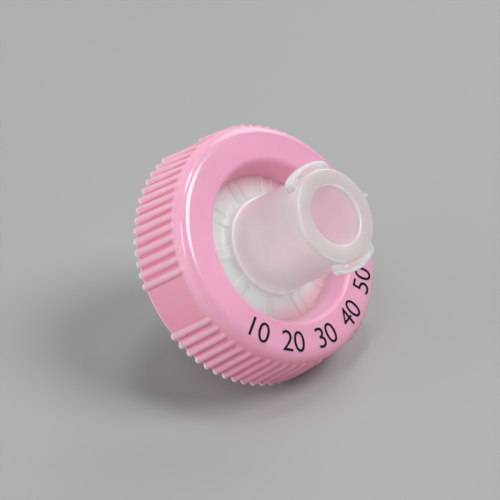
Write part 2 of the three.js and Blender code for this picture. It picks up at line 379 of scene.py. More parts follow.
def select_only(*pieces):
    bpy.ops.object.select_all(action="DESELECT")
    for piece in pieces:
        piece.select_set(True)
    bpy.context.view_layer.objects.active = pieces[0]


def fuse(piece, additions):
    """Joins the additions into one object and unites the piece with it."""
    select_only(*additions)
    bpy.ops.object.join()
    cutter = bpy.context.active_object
    select_only(piece)
    union = piece.modifiers.new("Union", "BOOLEAN")
    union.operation = "UNION"
    union.solver = "EXACT"
    union.use_self = True
    union.object = cutter
    bpy.ops.object.modifier_apply(modifier=union.name)
    bpy.data.objects.remove(cutter)


def finish_piece(piece, replaced, material, smooth_angle):
    """Lays the upright piece down in the resting pose, smooths it and hands it to the frame."""
    piece.matrix_world = FLOW
    select_only(piece)
    bpy.ops.object.transform_apply(location=True, rotation=True, scale=True)
    bpy.ops.object.shade_smooth_by_angle(angle=smooth_angle)
    piece.data.materials.clear()
    piece.data.materials.append(material)
    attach(piece, "root")
    if replaced:
        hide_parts(replaced)


# ---- Material tools ----

Place = namedtuple("Place", "across up direction")

NOISE_RANGE = (0.3, 0.7)  # the values in which noise mostly lies
SOFT = 0.1 * MM  # soft borders between tones are one or a few of these wide
POLYPROPYLENE_IOR = 1.49
LIP_LIGHT = 0.6  # share of the lamps' light that the ring's front lip lets through
SHELL_LIGHT = 0.9  # share of the lamps' light that the shells let through
FIBRE_SHADE = 0.93  # brightness between the membrane's fibres
INK_WEAR = 2.2  # brightness of worn ink, with fresh ink as 1

# Directions round the flow axis, anticlockwise from the X axis
PALE_SIDE = radians(-170)  # of the tube, where its painted pink glow is weakest
UNDERSIDE = radians(-120)  # of the tube, where it is painted lighter
NO_GLOW_SIDE = radians(170)  # of the plates, where no painted pink glow of the ring lies


def new_material(name):
    material = bpy.data.materials.new(name)
    material.use_nodes = True
    tree = material.node_tree
    return material, tree, tree.nodes["Principled BSDF"]


def feed(made, inputs):
    """Links other nodes' outputs to a node's inputs, and writes plain numbers and colours there."""
    for name, value in inputs.items():
        socket = made.inputs[name]
        if isinstance(value, bpy.types.NodeSocket):
            made.id_data.links.new(value, socket)
        elif socket.type == "RGBA":
            socket.default_value = (*value, 1)
        else:
            socket.default_value = value


def node(tree, kind, inputs, **settings):
    made = tree.nodes.new(kind)
    for key, value in settings.items():
        setattr(made, key, value)
    feed(made, inputs)
    return made


def calculate(operation, *values):
    """Works with node outputs and plain numbers, at least one of them an output."""
    tree = next(value.id_data for value in values if isinstance(value, bpy.types.NodeSocket))
    return node(tree, "ShaderNodeMath", dict(enumerate(values)), operation=operation).outputs["Value"]


def square(value):
    return calculate("MULTIPLY", value, value)


def noise(tree, scale, detail, roughness=0.5):
    """Noise over the piece's own coordinates, with the scale in patches per metre."""
    place = node(tree, "ShaderNodeTexCoord", {})
    pattern = node(tree, "ShaderNodeTexNoise", {
        "Vector": place.outputs["Object"], "Scale": scale, "Detail": detail, "Roughness": roughness,
    })
    return pattern.outputs["Fac"]


def ramp(value, start, end, low, high, interpolation_type):
    """Goes from low to high as the value goes from start to end, and stays level beyond them."""
    made = node(value.id_data, "ShaderNodeMapRange", {
        "Value": value, "From Min": start, "From Max": end, "To Min": low, "To Max": high,
    }, interpolation_type=interpolation_type)
    return made.outputs["Result"]


def spread(value, low, high):
    """Maps the range in which noise mostly lies to the range from low to high."""
    return ramp(value, *NOISE_RANGE, low, high, "LINEAR")


def fade(value, start, end, low=0.0, high=1.0):
    """Goes smoothly from low at start to high at end."""
    return ramp(value, start, end, low, high, "SMOOTHSTEP")


def band(value, start, end, soft):
    """1 between start and end, falling smoothly to 0 on both sides."""
    return both(fade(value, start - soft, start), fade(value, end + soft, end))


def both(*masks):
    """Where all of the masks are."""
    result = masks[0]
    for mask in masks[1:]:
        result = calculate("MULTIPLY", result, mask)
    return result


def either(*masks):
    """Where any of the masks is."""
    result = masks[0]
    for mask in masks[1:]:
        result = calculate("MAXIMUM", result, mask)
    return result


def uneven(mask, scale, least, most):
    """A mask that comes and goes in patches, with the scale in patches per metre."""
    return both(mask, spread(noise(mask.id_data, scale, detail=1), least, most))


def blend(share, first, second):
    """A colour or a plain number that goes from first to second as share goes from 0 to 1."""
    plain = isinstance(first, float) or isinstance(second, float)
    settings = {"Factor": share, "A": first, "B": second}
    mix = node(share.id_data, "ShaderNodeMix", settings, data_type="FLOAT" if plain else "RGBA")
    return mix.outputs["Result"]


def paint(base, *coats):
    """Lays coats of colour over a base in order, each of them where its mask is."""
    for mask, coat in coats:
        base = blend(mask, base, coat)
    return base


def shade(base, brightness):
    """A colour made darker where brightness is below 1."""
    settings = {"Factor": 1, "A": base, "B": brightness}
    mix = node(base.id_data, "ShaderNodeMix", settings, data_type="RGBA", blend_type="MULTIPLY")
    return mix.outputs["Result"]


def roughen(shader, height, strength, distance):
    """Gives the surface a bump of the height given, its distance from 0 to 1 in metres."""
    settings = {"Height": height, "Strength": strength, "Distance": distance}
    bump = node(shader.id_data, "ShaderNodeBump", settings)
    feed(shader, {"Normal": bump.outputs["Normal"]})


def pass_lamps(shader, tint, share):
    """Lets a share of the lamps' light through, tinted, as a milky wall does."""
    tree = shader.id_data
    rays = node(tree, "ShaderNodeLightPath", {})
    clear = node(tree, "ShaderNodeBsdfTransparent", {"Color": tint})
    through = node(tree, "ShaderNodeMixShader", {
        0: calculate("MULTIPLY", rays.outputs["Is Shadow Ray"], share),
        1: shader.outputs["BSDF"],
        2: clear.outputs["BSDF"],
    })
    feed(tree.nodes["Material Output"], {"Surface": through.outputs["Shader"]})


def flow_place(tree):
    """Distance from the flow axis, height along it, and the direction round it, at a surface point."""
    upright = FLOW.inverted()
    place = node(tree, "ShaderNodeTexCoord", {})
    stand = node(tree, "ShaderNodeMapping", {
        "Vector": place.outputs["Object"],
        "Location": upright.to_translation(),
        "Rotation": upright.to_euler(),
    })
    parts = node(tree, "ShaderNodeSeparateXYZ", {"Vector": stand.outputs["Vector"]})
    x = parts.outputs["X"]
    y = parts.outputs["Y"]
    across = calculate("SQRT", calculate("ADD", square(x), square(y)))
    return Place(across, parts.outputs["Z"], calculate("ARCTAN2", y, x))


def facing(place, side):
    """1 on the side in the direction given, 0 a quarter turn from it and -1 behind."""
    return calculate("COSINE", calculate("SUBTRACT", place.direction, side))


def from_nearest(value, first, pitch):
    """Signed distance from the nearest of the marks that lie one pitch apart, counted from the first."""
    return calculate("WRAP", calculate("SUBTRACT", value, first), pitch / 2, -pitch / 2)


# ---- Finish of the grip ring ----

def shade_under_grip_rib(place, ribs):
    """Where shade is painted: 1 in the crease on the lower side of each grip rib, and 0 on the panels."""
    from_rib = from_nearest(place.direction, ribs.pitch / 2, ribs.pitch)
    downwards = calculate("SIGN", facing(place, pi))
    below_rib = calculate("MULTIPLY", from_rib, downwards)
    from_crease = calculate("ABSOLUTE", from_nearest(below_rib, ribs.crease, ribs.pitch))
    from_group = from_nearest(place.direction, pi / ribs.groups, 2 * pi / ribs.groups)
    group_half = ribs.per_group * ribs.pitch / 2
    return both(
        fade(from_crease, ribs.crease, 0.1 * ribs.crease),
        fade(calculate("ABSOLUTE", from_group), group_half, group_half - 0.05 * ribs.pitch),
        fade(place.up, -ribs.front_setback - SOFT, -ribs.front_setback - 4 * SOFT),
    )


def ring_colour(place, finishes, ring, ribs):
    """Pinks of the ring, most of them painted light and shade: painted sheen pales the crests, the rib ends
    and back rim, the front edge and the face, and painted shade deepens the creases, the underside and the
    window wall's lower side.
    """
    up = place.up
    slope = (ring.back_radius - ring.collar_radius) / RING_BACK
    side = calculate("MULTIPLY_ADD", up, slope, ring.collar_radius)
    above_side = calculate("SUBTRACT", place.across, side)
    height_round = calculate("SINE", place.direction)
    upper = fade(height_round, -0.9, 0.1)

    # Painted shade in the creases under the grip ribs
    crease_shade = both(shade_under_grip_rib(place, ribs), fade(above_side, -0.1 * MM, -0.02 * MM))
    on_crest = fade(above_side, 0.02 * MM, 0.14 * MM)
    # Painted sheen on the crests, strongest on the upper side
    crest_sheen = both(on_crest, fade(upper, 0, 1, low=0.3, high=1))
    # Painted highlight on the ribs' back ends and on the back rim
    at_tip = both(on_crest, fade(up, RING_BACK + 0.55 * MM, RING_BACK + 0.3 * MM))
    at_back = both(
        fade(up, RING_BACK + 3 * SOFT, RING_BACK + 2 * SOFT),
        fade(above_side, -0.2 * MM, -0.08 * MM),
    )
    # Painted sheen on the front edge's upper side, painted shade on its underside
    on_edge = fade(up, -ring.front_rounding - SOFT, -ring.front_rounding + SOFT)
    # Painted sheen on the face
    on_face = fade(up, -0.3 * MM, -0.02 * MM)
    in_window = both(
        fade(up, -0.05 * MM, -0.3 * MM),
        fade(place.across, ring.window_radius + 3 * SOFT, ring.window_radius + SOFT),
    )
    # Painted shade on the window wall's lower side, darker at its foot
    sill_shade = both(in_window, fade(height_round, 0.3, -0.3))
    painted_foot_tone = both(sill_shade, fade(up, -0.9 * MM, -1.7 * MM))
    return paint(
        blend(upper, finishes.pink_under_shade, finishes.pink),
        (crease_shade, finishes.pink_crease_shade),
        (crest_sheen, finishes.pink_crest_sheen),
        (either(at_tip, at_back), finishes.pink_tip_highlight),
        (on_edge, blend(upper, finishes.pink_edge_shade, finishes.pink_edge_sheen)),
        (on_face, finishes.pink_face_sheen),
        (in_window, finishes.pink_window),
        (sill_shade, finishes.pink_sill_shade),
        (painted_foot_tone, finishes.pink_foot_shade),
    )


def pink_plastic(finishes, ring, ribs):
    """Satin polypropylene that lets a little light in, so hollows glow a deeper pink; painted sheen and
    painted shade in its colour add to that.
    """
    material, tree, shader = new_material("pink_polypropylene")
    place = flow_place(tree)
    blotches = spread(noise(tree, scale=240, detail=3), low=0.96, high=1)
    satin = spread(noise(tree, scale=900, detail=2), low=0.30, high=0.38)
    near_face = fade(place.up, -0.5 * MM, -0.3 * MM)
    face_radius = ring.collar_radius - ring.front_rounding
    polished = both(
        fade(place.up, -0.42 * MM, -0.32 * MM),
        fade(place.across, face_radius - SOFT, ring.collar_radius - 7 * SOFT),
    )
    feed(shader, {
        "Base Color": shade(ring_colour(place, finishes, ring, ribs), blotches),
        "Roughness": blend(near_face, 0.5, satin),
        "IOR": POLYPROPYLENE_IOR,
        "Subsurface Weight": 0.5,
        "Subsurface Radius": (1.0, 0.35, 0.5),
        "Subsurface Scale": 0.6 * MM,
        "Coat Weight": fade(polished, 0, 1, low=0.15, high=1),
        "Coat Roughness": 0.1,
    })
    grain = noise(tree, scale=9000, detail=3, roughness=0.6)
    roughen(shader, grain, strength=0.06, distance=0.01 * MM)
    on_lip = both(
        fade(place.across, ring.window_radius + 1.5 * MM, ring.window_radius + 0.5 * MM),
        fade(place.up, -ring.lip_depth - 2 * SOFT, -ring.lip_depth),
    )
    pass_lamps(shader, finishes.lip_tint, both(on_lip, LIP_LIGHT))
    return material


# ---- Finish of the housing shells ----

def tube_colour(tree, place, finishes, inlet):
    """Tube and nozzle, with painted light: the ring's pink glows in the tube in soft clouds, but for one
    side of its foot and its rim, and the tube is lighter underneath and towards the plate.
    """
    up = place.up
    mouth = inlet.mouth_radius
    foot = inlet.ledge_height
    on_inlet = fade(up, INLET_LAND, inlet.plate_top)
    pale = both(fade(facing(place, PALE_SIDE), 0.2, 0.9), fade(up, 3.4 * MM, 0.8 * MM))
    clouds = spread(noise(tree, scale=300, detail=2), low=0.45, high=1)
    # Painted glow of the ring's pink in the tube, weakest on the pale side
    pink_glow = both(on_inlet, clouds, fade(pale, 0, 1, low=1, high=0.1))
    # Painted light: the tube's underside is lighter
    under = either(fade(facing(place, UNDERSIDE), 0.2, 0.8), fade(up, 2.8 * MM, 0.4 * MM))
    # Painted light: the tube lighter towards the plate, and the nozzle in part
    painted_foot_tone = fade(up, foot, foot + 1.2 * MM, low=0.6, high=0)
    in_bore = both(on_inlet, fade(place.across, mouth + 0.01 * MM, mouth - 0.02 * MM))
    on_rim = both(at_rim(place), fade(place.across, mouth, mouth + 0.05 * MM))
    in_mouth = both(in_bore, fade(up, INLET_RIM - 0.5 * MM, INLET_RIM - 0.3 * MM))
    return paint(
        blend(under, finishes.tube, finishes.tube_under_light),
        (pink_glow, blend(under, finishes.tube_pink_glow, finishes.pink_glow_under)),
        (painted_foot_tone, finishes.tube_foot),
        (in_bore, finishes.bore),
        (on_rim, finishes.rim),
        (in_mouth, finishes.rim),
    )


def at_rim(place):
    """1 on the tube's rim, fading out a little way down."""
    return fade(place.up, INLET_RIM - 0.5 * MM, INLET_RIM - 0.1 * MM)


def painted_plate_glow(place):
    """Where the ring's pink glow is painted on a plate: near the ring, but for one side."""
    near_ring = fade(place.across, 3.1 * MM, WINDOW_FOOT_RADIUS)
    return both(square(near_ring), fade(facing(place, NO_GLOW_SIDE), 0.7, 0.1))


def chamber_rib_marks(place, ribs):
    """Masks for the painted light and shade by which the chamber ribs show through a plate: their outlines,
    their crests, and their rise for a bump.
    """
    offset = from_nearest(place.direction, pi / 2, 2 * pi / ribs.count)
    sine = calculate("SINE", calculate("ABSOLUTE", offset))
    beside = calculate("MULTIPLY", place.across, sine)
    half = ribs.width / 2
    outlines = band(beside, half - 0.04 * MM, half, 0.08 * MM)
    crests = band(beside, 0, half - 0.3 * MM, 0.12 * MM)
    rise = fade(beside, half + 0.1 * MM, half - 0.14 * MM)
    return outlines, crests, rise


def tube_glints(place, inlet):
    """Masks for broken painted glints along the bore's lip, the rim's outer edge and the ledge round the
    tube's foot.
    """
    mouth = inlet.mouth_radius
    rim = rim_radius(inlet)
    foot = inlet.ledge_height
    ledge = rim + inlet.flare
    on_lip = band(place.across, mouth + 0.02 * MM, mouth + 0.08 * MM, 0.03 * MM)
    on_rim_edge = band(place.across, rim - 0.14 * MM, rim - 0.08 * MM, 0.03 * MM)
    on_foot = both(
        band(place.up, foot - 0.03 * MM, foot + 0.03 * MM, 0.03 * MM),
        band(place.across, ledge - 0.02 * MM, ledge + inlet.ledge, 0.02 * MM),
    )
    return either(
        uneven(both(at_rim(place), on_lip), scale=700, least=0, most=1),
        uneven(both(at_rim(place), on_rim_edge), scale=420, least=-0.6, most=0.8),
        uneven(on_foot, scale=260, least=0.5, most=1),
    )


def milky_plastic(finishes, inlet, lugs, ribs):
    """Natural polypropylene: milky and half clear, so that lamps light what is behind it too."""
    material, tree, shader = new_material("milky_polypropylene")
    place = flow_place(tree)
    rim = rim_radius(inlet)
    lug_edge = rim + lugs.stand_off
    from_level = calculate("ABSOLUTE", calculate("SINE", place.direction))
    on_plate = both(
        fade(place.up, inlet.ledge_height, inlet.ledge_height - 2 * SOFT),
        fade(place.across, rim + inlet.ledge, rim + inlet.ledge + SOFT),
    )
    on_lug = both(
        fade(place.up, INLET_RIM - 1.3 * MM, INLET_RIM - 1.2 * MM),
        fade(place.across, rim + 0.03 * MM, rim + SOFT),
    )
    clear_middle = both(
        on_lug,
        fade(from_level, 0.9, 0.96),
        fade(place.across, lug_edge - 0.22 * MM, lug_edge - 0.32 * MM),
    )
    on_lug_edge = both(on_lug, band(place.across, lug_edge - 0.16 * MM, lug_edge, 0.05 * MM))

    # Painted light and shade where the chamber ribs show through: glints on level ribs' outlines and
    # upright ribs' crests, shade on upright ribs' outlines
    outlines, crests, rise = [both(mark, on_plate) for mark in chamber_rib_marks(place, ribs)]
    upright = fade(from_level, 0.85, 0.97)
    level_outlines = both(outlines, calculate("SUBTRACT", 1, upright))
    outline_shade = fade(both(outlines, upright), 0, 1, low=1, high=0.9)
    # Painted glints on rib outlines and crests, the lugs' outer edges, the lip, the rim and the foot
    glints = either(
        uneven(level_outlines, scale=700, least=-0.2, most=0.8),
        uneven(both(crests, upright), scale=700, least=0, most=0.4),
        uneven(on_lug_edge, scale=500, least=0.6, most=1),
        tube_glints(place, inlet),
    )
    base = paint(
        tube_colour(tree, place, finishes, inlet),
        (on_plate, finishes.plate),
        # painted glow of the ring's pink on the plates
        (both(on_plate, painted_plate_glow(place)), finishes.plate_ring_glow),
        (on_lug, finishes.lug),
        (clear_middle, finishes.clear_lug),
    )
    milky_roughness = spread(noise(tree, scale=400, detail=1), low=0.36, high=0.42)
    dull = blend(clear_middle, milky_roughness, 0.22)
    see_through = blend(clear_middle, 0.35, 0.75)
    feed(shader, {
        "Base Color": blend(glints, shade(base, outline_shade), finishes.glint),
        "Roughness": blend(glints, dull, 0.25),
        "Transmission Weight": blend(glints, see_through, 0.0),
        "IOR": POLYPROPYLENE_IOR,
        "Subsurface Weight": 1.0,
        "Subsurface Radius": (1.0, 0.97, 0.95),
        "Subsurface Scale": 2 * MM,
        "Coat Weight": 0.3,
        "Coat Roughness": 0.05,
    })
    roughen(shader, rise, strength=1, distance=0.14 * MM)
    pass_lamps(shader, finishes.lamp_tint, SHELL_LIGHT)
    return material


# ---- Finish of the membrane, the ink and the floor ----

def membrane_film(finishes):
    material, tree, shader = new_material("membrane_film")
    fibres = noise(tree, scale=6000, detail=5, roughness=0.7)
    between_fibres = [FIBRE_SHADE * channel for channel in finishes.membrane]
    feed(shader, {
        "Base Color": blend(spread(fibres, low=0, high=1), finishes.membrane, between_fibres),
        "Roughness": spread(noise(tree, scale=1500, detail=2), low=0.8, high=0.95),
    })
    roughen(shader, fibres, strength=0.3, distance=0.01 * MM)
    return material


def printing_ink(finishes):
    material, tree, shader = new_material("printing_ink")
    patches = spread(noise(tree, scale=2500, detail=3), low=0, high=1)
    worn = [INK_WEAR * channel for channel in finishes.ink]
    feed(shader, {
        "Base Color": blend(patches, finishes.ink, worn),
        "Roughness": spread(noise(tree, scale=4000, detail=2), low=0.5, high=0.65),
        "Specular IOR Level": 0.15,
    })
    return material


def floor_paint(finishes):
    material, _, shader = new_material("floor_paint")
    feed(shader, {"Base Color": finishes.floor, "Roughness": 0.7, "Specular IOR Level": 0.2})
    return material


# ---- Grip ring ----

def side_radius(ring, z):
    """Radius of the ring's side at height z, and of its rounded front edge."""
    rounding = ring.front_rounding
    side = ring.collar_radius + (ring.back_radius - ring.collar_radius) * z / RING_BACK
    return side - rounding + sqrt(rounding ** 2 - max(z + rounding, 0) ** 2)


def rib_height(ribs, across, z):
    """Height of the rib's surface above the ring's side, across its middle line and at height z."""
    front_end = -ribs.front_setback - ribs.radius
    back_end = RING_BACK + ribs.back_setback + ribs.radius
    beyond = max(z - front_end, back_end - z, 0)
    along = min(max((front_end - z) / (front_end - back_end), 0), 1)
    crest = ribs.front_rise + (ribs.back_rise - ribs.front_rise) * along
    middle = crest - ribs.radius
    off = hypot(across, beyond)
    reach = sqrt((ribs.radius + ribs.fillet) ** 2 - (ribs.fillet - middle) ** 2)
    touch = reach * ribs.radius / (ribs.radius + ribs.fillet)
    if off < touch:
        return middle + sqrt(ribs.radius ** 2 - off ** 2)
    if off < reach:
        return ribs.fillet - sqrt(ribs.fillet ** 2 - (reach - off) ** 2)
    return 0


def side_rows(ribs, ring):
    """Heights of the rows down the front edge and the side, close together round the ribs' ends."""
    margin = ribs.radius + ribs.fillet
    front_end = -ribs.front_setback - ribs.radius
    back_end = RING_BACK + ribs.back_setback + ribs.radius
    front = [front_end + margin * (1 - i / RIB_END_ROWS) for i in range(RIB_END_ROWS + 1)]
    middle = [front_end + (back_end - front_end) * share for share in (0.25, 0.5, 0.75)]
    edge_turn = acos((front[0] + ring.front_rounding) / ring.front_rounding)
    edge_turns = [edge_turn * i / FRONT_EDGE_ROWS for i in range(FRONT_EDGE_ROWS)]
    edge = [ring.front_rounding * (cos(turn) - 1) for turn in edge_turns]
    return edge + front + middle


def ring_outline(ring, ribs):
    """The ring's closed outline: its window, its channel, its back, its side and its front edge."""
    lip = -ring.lip_depth
    channel_bottom = RING_BACK + ring.back_lip
    inner = [
        (ring.window_radius, 0, ring.window_rounding),
        (WINDOW_FOOT_RADIUS + ring.foot_fillet, lip + ring.foot_fillet, ring.foot_fillet),
        (WINDOW_FOOT_RADIUS, lip, 0),
        (ring.channel_radius, lip, 0),
        (ring.channel_radius, channel_bottom, 0),
        (ring.back_window - ring.back_draft, channel_bottom, 0),
        (ring.back_window, RING_BACK, ring.back_window_rounding),
        (ring.back_radius, RING_BACK, ring.back_rounding),
    ]
    side = [(side_radius(ring, z), z, 0) for z in reversed(side_rows(ribs, ring))]
    return rounded_outline(inner + side, RING_CORNER_STEP)


def ring_sector(name, ring, ribs, turn):
    """A smooth stretch of the ring, centred on the X axis."""
    sector = draw_outline(name, ring_outline(ring, ribs))
    turn_mesh(turn / 2)
    spin_mesh(SECTOR_COLUMNS, -turn)
    bpy.ops.object.mode_set(mode="OBJECT")
    return sector


def raise_rib(wedge, ring, ribs):
    """Raises a rib from the wedge's side by a displacement along X."""
    group = wedge.vertex_groups.new(name="rib")
    for vertex in wedge.data.vertices:
        place = vertex.co
        outside = place.xy.length > side_radius(ring, place.z) - ring.back_rounding
        if outside and place.z > RING_BACK + MERGE_DISTANCE:
            share = rib_height(ribs, place.y, place.z) / ribs.back_rise
            group.add([vertex.index], share, "REPLACE")
    push = wedge.modifiers.new("Rib", "DISPLACE")
    push.direction = "X"
    push.mid_level = 0
    push.strength = ribs.back_rise
    push.vertex_group = group.name
    select_only(wedge)
    bpy.ops.object.modifier_apply(modifier=push.name)
    wedge.vertex_groups.clear()


class FILTER_OT_grip_ring(Operator):
    """Model the grip ring: one ribbed wedge copied round the flow axis, with smooth panels between"""
    bl_idname = "filter.grip_ring"
    bl_label = "Grip Ring"

    def execute(self, context):
        ring = context.scene.filter_ring
        ribs = context.scene.filter_ribs
        group_turn = 2 * pi / ribs.groups
        first_to_last = (ribs.per_group - 1) * ribs.pitch
        piece = ring_sector("grip_ring_finish", ring, ribs, ribs.pitch)
        raise_rib(piece, ring, ribs)
        bpy.ops.object.mode_set(mode="EDIT")
        turn_mesh((first_to_last - group_turn) / 2)
        spin_mesh(ribs.per_group - 1, -first_to_last, dupli=True)
        bpy.ops.object.mode_set(mode="OBJECT")
        panel = ring_sector("panel", ring, ribs, group_turn - ribs.per_group * ribs.pitch)
        select_only(piece, panel)
        bpy.ops.object.join()
        bpy.ops.object.mode_set(mode="EDIT")
        spin_mesh(ribs.groups - 1, -(ribs.groups - 1) * group_turn, dupli=True)
        close_surface()
        material = pink_plastic(context.scene.filter_finishes, ring, ribs)
        finish_piece(piece, "grip_ring", material, RING_SMOOTH_ANGLE)
        return {"FINISHED"}


# ---- Housing shells ----

def rim_radius(inlet):
    return inlet.mouth_radius + inlet.wall


def chamber_ribs(ribs, hole_radius, chamber_radius, height):
    """Radial ribs on a chamber's ceiling or floor, from near the flow hole into the chamber's wall."""
    inner = hole_radius + ribs.hub_clearance
    outer = chamber_radius + ribs.width / 2
    made = []
    for i in range(ribs.count):
        turn = pi / 2 + 2 * pi * i / ribs.count
        middle = Matrix.Rotation(turn, 3, "Z") @ Vector(((inner + outer) / 2, 0, height))
        bpy.ops.object.select_all(action="DESELECT")
        bpy.ops.mesh.primitive_cube_add(size=1, location=middle, rotation=(0, 0, turn))
        rib = bpy.context.active_object
        rib.scale = (outer - inner, ribs.width, 2 * ribs.height)
        bpy.ops.object.transform_apply(location=True, rotation=True, scale=True)
        bpy.ops.object.mode_set(mode="EDIT")
        bpy.ops.mesh.select_all(action="SELECT")
        bpy.ops.mesh.bevel(offset=ribs.width / 8, segments=2)
        bpy.ops.object.mode_set(mode="OBJECT")
        made.append(rib)
    return made


def lug(inlet, lugs, direction):
    """A lug: an arc-shaped strip with round ends, drawn flat, extruded up and bevelled."""
    rim = rim_radius(inlet)
    inner = rim - lugs.root
    outer = rim + lugs.stand_off
    middle = (inner + outer) / 2
    end = (outer - inner) / 2
    half = lugs.span / 2
    arcs = [
        (0, 0, outer, -half, half),
        (middle * cos(half), middle * sin(half), end, half, half + pi),
        (0, 0, inner, half, -half),
        (middle * cos(half), -middle * sin(half), end, pi - half, 2 * pi - half),
    ]
    points = [point for arc in arcs for point in arc_points(*arc)]
    top = INLET_RIM - lugs.setback
    made = draw_flat("lug", points, top - lugs.thickness)
    bpy.ops.mesh.edge_face_add()
    bpy.ops.mesh.extrude_region_move(TRANSFORM_OT_translate={"value": (0, 0, lugs.thickness)})
    bpy.ops.mesh.select_all(action="SELECT")
    bpy.ops.mesh.normals_make_consistent(inside=False)
    turn_mesh(-direction)
    round_flat_edges(made, lugs.rounding)
    bpy.ops.object.mode_set(mode="OBJECT")
    return made


def gate_stub(inlet, gate):
    """A small flat lump left at the mould's gate: a squashed ball half sunk in the tube's wall."""
    centre = (rim_radius(inlet), 0, INLET_RIM - gate.setback)
    bpy.ops.object.select_all(action="DESELECT")
    bpy.ops.mesh.primitive_uv_sphere_add(segments=24, ring_count=12, radius=0.5, location=centre)
    stub = bpy.context.active_object
    stub.scale = (2 * gate.stand_off, gate.width, gate.thickness)
    bpy.ops.object.transform_apply(location=True, rotation=True, scale=True)
    return stub


def arc_points(x, y, radius, start, end):
    """Points along an arc round x, y, without its end."""
    steps = ceil(abs(end - start) / LUG_ARC_STEP)
    turns = [start + (end - start) * i / steps for i in range(steps)]
    return [Vector((x + radius * cos(turn), y + radius * sin(turn))) for turn in turns]


def round_flat_edges(piece, rounding):
    """Bevels the edges between the flat faces and the upright wall."""
    mesh = bmesh.from_edit_mesh(piece.data)
    for edge in mesh.edges:
        edge.select_set(abs(edge.verts[0].co.z - edge.verts[1].co.z) < LEVEL)
    mesh.select_flush_mode()
    bmesh.update_edit_mesh(piece.data)
    bpy.ops.mesh.bevel(offset=rounding, segments=3)


class FILTER_OT_inlet_housing(Operator):
    """Model the inlet housing: a turned plate and tapered luer tube, with lugs and chamber ribs"""
    bl_idname = "filter.inlet_housing"
    bl_label = "Inlet Housing"

    def execute(self, context):
        inlet = context.scene.filter_inlet
        ribs = context.scene.filter_chamber_ribs
        lugs = context.scene.filter_lugs
        rim = rim_radius(inlet)
        bore_foot = INLET_RIM - inlet.bore_depth
        ceiling = INLET_LAND + inlet.chamber_height
        tube_foot = rim + inlet.flare * (INLET_RIM - inlet.ledge_height) / (INLET_RIM - inlet.plate_top)
        piece = turned_piece("inlet_housing_finish", [
            (FLOW_HOLE_RADIUS, ceiling, 0),
            (inlet.chamber_radius, ceiling, 0),
            (inlet.chamber_radius, INLET_LAND, 0),
            (PLATE_RADIUS, INLET_LAND, 0),
            (PLATE_RADIUS, inlet.plate_top, 0),
            (tube_foot + inlet.ledge, inlet.plate_top, inlet.foot_fillet),
            (tube_foot + inlet.ledge, inlet.ledge_height, inlet.ledge / 4),
            (tube_foot, inlet.ledge_height, inlet.ledge / 5),
            (rim, INLET_RIM, inlet.rim_rounding),
            (inlet.mouth_radius, INLET_RIM, inlet.mouth_rounding),
            (inlet.mouth_radius - inlet.taper * inlet.bore_depth, bore_foot, 0),
            (FLOW_HOLE_RADIUS, bore_foot, 0),
        ], SHELL_STEPS)
        made = [lug(inlet, lugs, direction) for direction in (pi / 2, 3 * pi / 2)]
        made.append(gate_stub(inlet, context.scene.filter_gate))
        made += chamber_ribs(ribs, FLOW_HOLE_RADIUS, inlet.chamber_radius, ceiling)
        fuse(piece, made)
        material = milky_plastic(context.scene.filter_finishes, inlet, lugs, ribs)
        finish_piece(piece, "inlet_housing", material, SMOOTH_ANGLE)
        return {"FINISHED"}


class FILTER_OT_outlet_housing(Operator):
    """Model the outlet housing: a turned plate and tapered nozzle, with chamber ribs"""
    bl_idname = "filter.outlet_housing"
    bl_label = "Outlet Housing"

    def execute(self, context):
        inlet = context.scene.filter_inlet
        outlet = context.scene.filter_outlet
        ribs = context.scene.filter_chamber_ribs
        floor = OUTLET_LAND - inlet.chamber_height
        root = outlet.tip_radius + inlet.taper * outlet.cone_length
        shoulder = NOZZLE_TIP + outlet.cone_length
        piece = turned_piece("outlet_housing_finish", [
            (FLOW_HOLE_RADIUS, NOZZLE_TIP, 0),
            (outlet.tip_radius, NOZZLE_TIP, outlet.rounding),
            (root, shoulder, 0),
            (root + outlet.shoulder, shoulder, outlet.rounding),
            (root + outlet.shoulder, outlet.plate_bottom, outlet.foot_fillet),
            (PLATE_RADIUS, outlet.plate_bottom, 0),
            (PLATE_RADIUS, OUTLET_LAND, 0),
            (inlet.chamber_radius, OUTLET_LAND, 0),
            (inlet.chamber_radius, floor, 0),
            (FLOW_HOLE_RADIUS, floor, 0),
        ], SHELL_STEPS)
        fuse(piece, chamber_ribs(ribs, FLOW_HOLE_RADIUS, inlet.chamber_radius, floor))
        material = bpy.data.materials["milky_polypropylene"]
        finish_piece(piece, "outlet_housing", material, SMOOTH_ANGLE)
        return {"FINISHED"}


# ---- Membrane ----

MEMBRANE_ROUNDING = 0.04 * MM


class FILTER_OT_membrane(Operator):
    """Model the membrane disc between the two shells"""
    bl_idname = "filter.membrane"
    bl_label = "Membrane"

    def execute(self, context):
        piece = turned_piece("membrane_finish", [
            (0, MEMBRANE_BOTTOM, 0),
            (MEMBRANE_RADIUS, MEMBRANE_BOTTOM, MEMBRANE_ROUNDING),
            (MEMBRANE_RADIUS, MEMBRANE_TOP, MEMBRANE_ROUNDING),
            (0, MEMBRANE_TOP, 0),
        ], MEMBRANE_STEPS)
        material = membrane_film(context.scene.filter_finishes)
        finish_piece(piece, "membrane", material, SMOOTH_ANGLE)
        return {"FINISHED"}


# ---- Printed numerals ----

NUMERAL_SHARE = 0.72  # height of a numeral, with the size of its font as 1


def numeral(character, text):
    """One character as a thin layer of ink, lying flat at the middle."""
    bpy.ops.object.select_all(action="DESELECT")
    bpy.ops.object.text_add()
    made = bpy.context.active_object
    made.data.body = character
    made.data.size = text.height / NUMERAL_SHARE
    made.data.offset = -text.thinning
    made.data.align_x = "CENTER"
    made.data.extrude = text.half_ink
    bpy.ops.object.convert(target="MESH")
    return made


